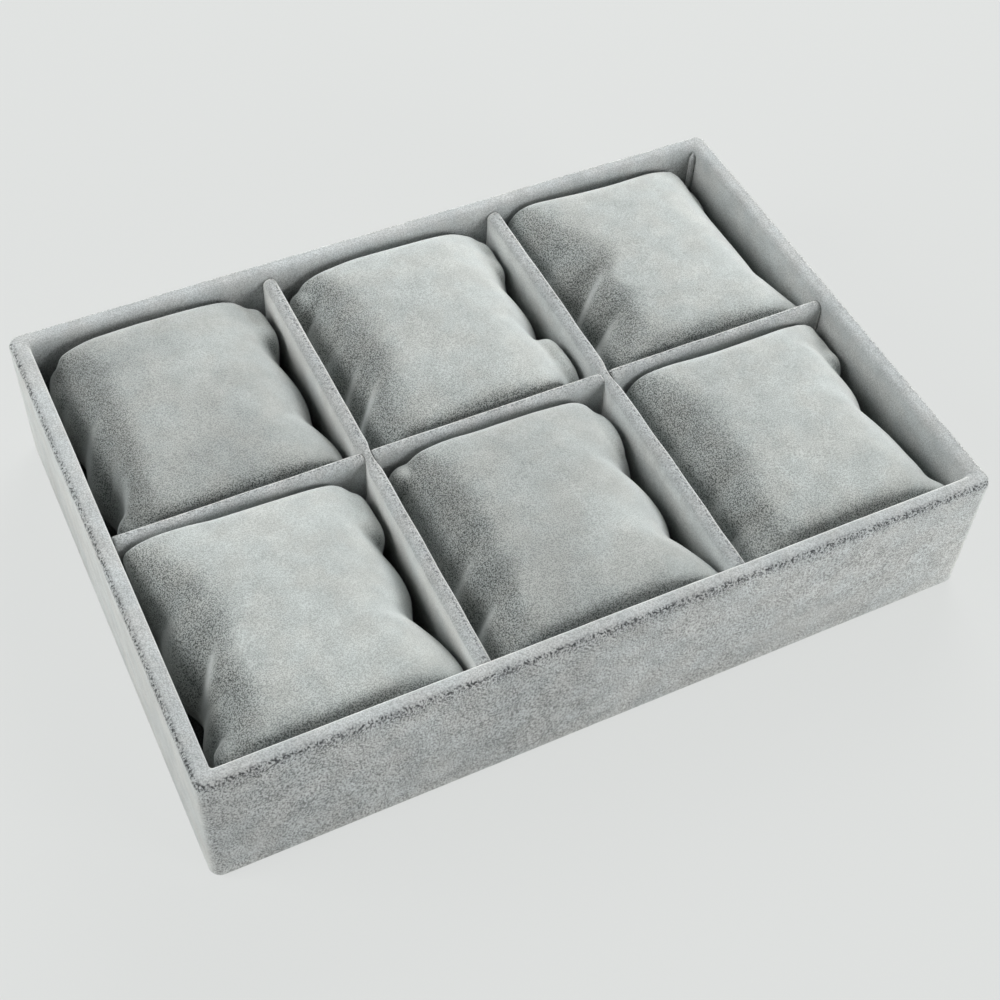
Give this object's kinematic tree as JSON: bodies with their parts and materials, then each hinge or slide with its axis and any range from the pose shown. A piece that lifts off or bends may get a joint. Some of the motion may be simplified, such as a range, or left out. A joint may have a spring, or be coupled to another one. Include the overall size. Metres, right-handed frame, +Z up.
{
  "type": "padded tray",
  "caption": "Shallow velvet-covered display tray with crossed dividers and a loose stuffed pillow in each compartment, for showing watches or bracelets.",
  "frame": {"origin": "centre of the underside, on the surface that the tray stands on", "axes": "+X along the tray's length, +Y towards its back, +Z up out of the compartments"},
  "size_m": [0.28, 0.196, 0.058],
  "materials": {
    "tray_velvet": "matt",
    "pillow_velvet": "matt",
    "grey_board": "matt",
    "underside_backing": "matt",
    "white_wadding": "matt"
  },
  "bodies": {
    "tray": {"underside_cover": "underside_backing", "base_board": "grey_board", "front_wall_board": "grey_board", "back_wall_board": "grey_board", "left_wall_board": "grey_board", "right_wall_board": "grey_board", "outer_wrap": "tray_velvet", "floor_card": "grey_board", "floor_velvet": "tray_velvet", "long_divider_core": "grey_board", "long_divider_velvet": "tray_velvet", "left_cross_divider_core": "grey_board", "left_cross_divider_velvet": "tray_velvet", "right_cross_divider_core": "grey_board", "right_cross_divider_velvet": "tray_velvet"},
    "front_left_pillow": {"front_left_pillow_cover": "pillow_velvet", "front_left_pillow_fill": "white_wadding"},
    "front_middle_pillow": {"front_middle_pillow_cover": "pillow_velvet", "front_middle_pillow_fill": "white_wadding"},
    "front_right_pillow": {"front_right_pillow_cover": "pillow_velvet", "front_right_pillow_fill": "white_wadding"},
    "back_left_pillow": {"back_left_pillow_cover": "pillow_velvet", "back_left_pillow_fill": "white_wadding"},
    "back_middle_pillow": {"back_middle_pillow_cover": "pillow_velvet", "back_middle_pillow_fill": "white_wadding"},
    "back_right_pillow": {"back_right_pillow_cover": "pillow_velvet", "back_right_pillow_fill": "white_wadding"}
  },
  "joints": [
    {"name": "front_left_pillow_lift", "type": "slide", "parent": "tray", "child": "front_left_pillow", "axis": [0, 0, 1], "range_m": [0, 0.065]},
    {"name": "front_middle_pillow_lift", "type": "slide", "parent": "tray", "child": "front_middle_pillow", "axis": [0, 0, 1], "range_m": [0, 0.065]},
    {"name": "front_right_pillow_lift", "type": "slide", "parent": "tray", "child": "front_right_pillow", "axis": [0, 0, 1], "range_m": [0, 0.065]},
    {"name": "back_left_pillow_lift", "type": "slide", "parent": "tray", "child": "back_left_pillow", "axis": [0, 0, 1], "range_m": [0, 0.065]},
    {"name": "back_middle_pillow_lift", "type": "slide", "parent": "tray", "child": "back_middle_pillow", "axis": [0, 0, 1], "range_m": [0, 0.065]},
    {"name": "back_right_pillow_lift", "type": "slide", "parent": "tray", "child": "back_right_pillow", "axis": [0, 0, 1], "range_m": [0, 0.065]}
  ]
}
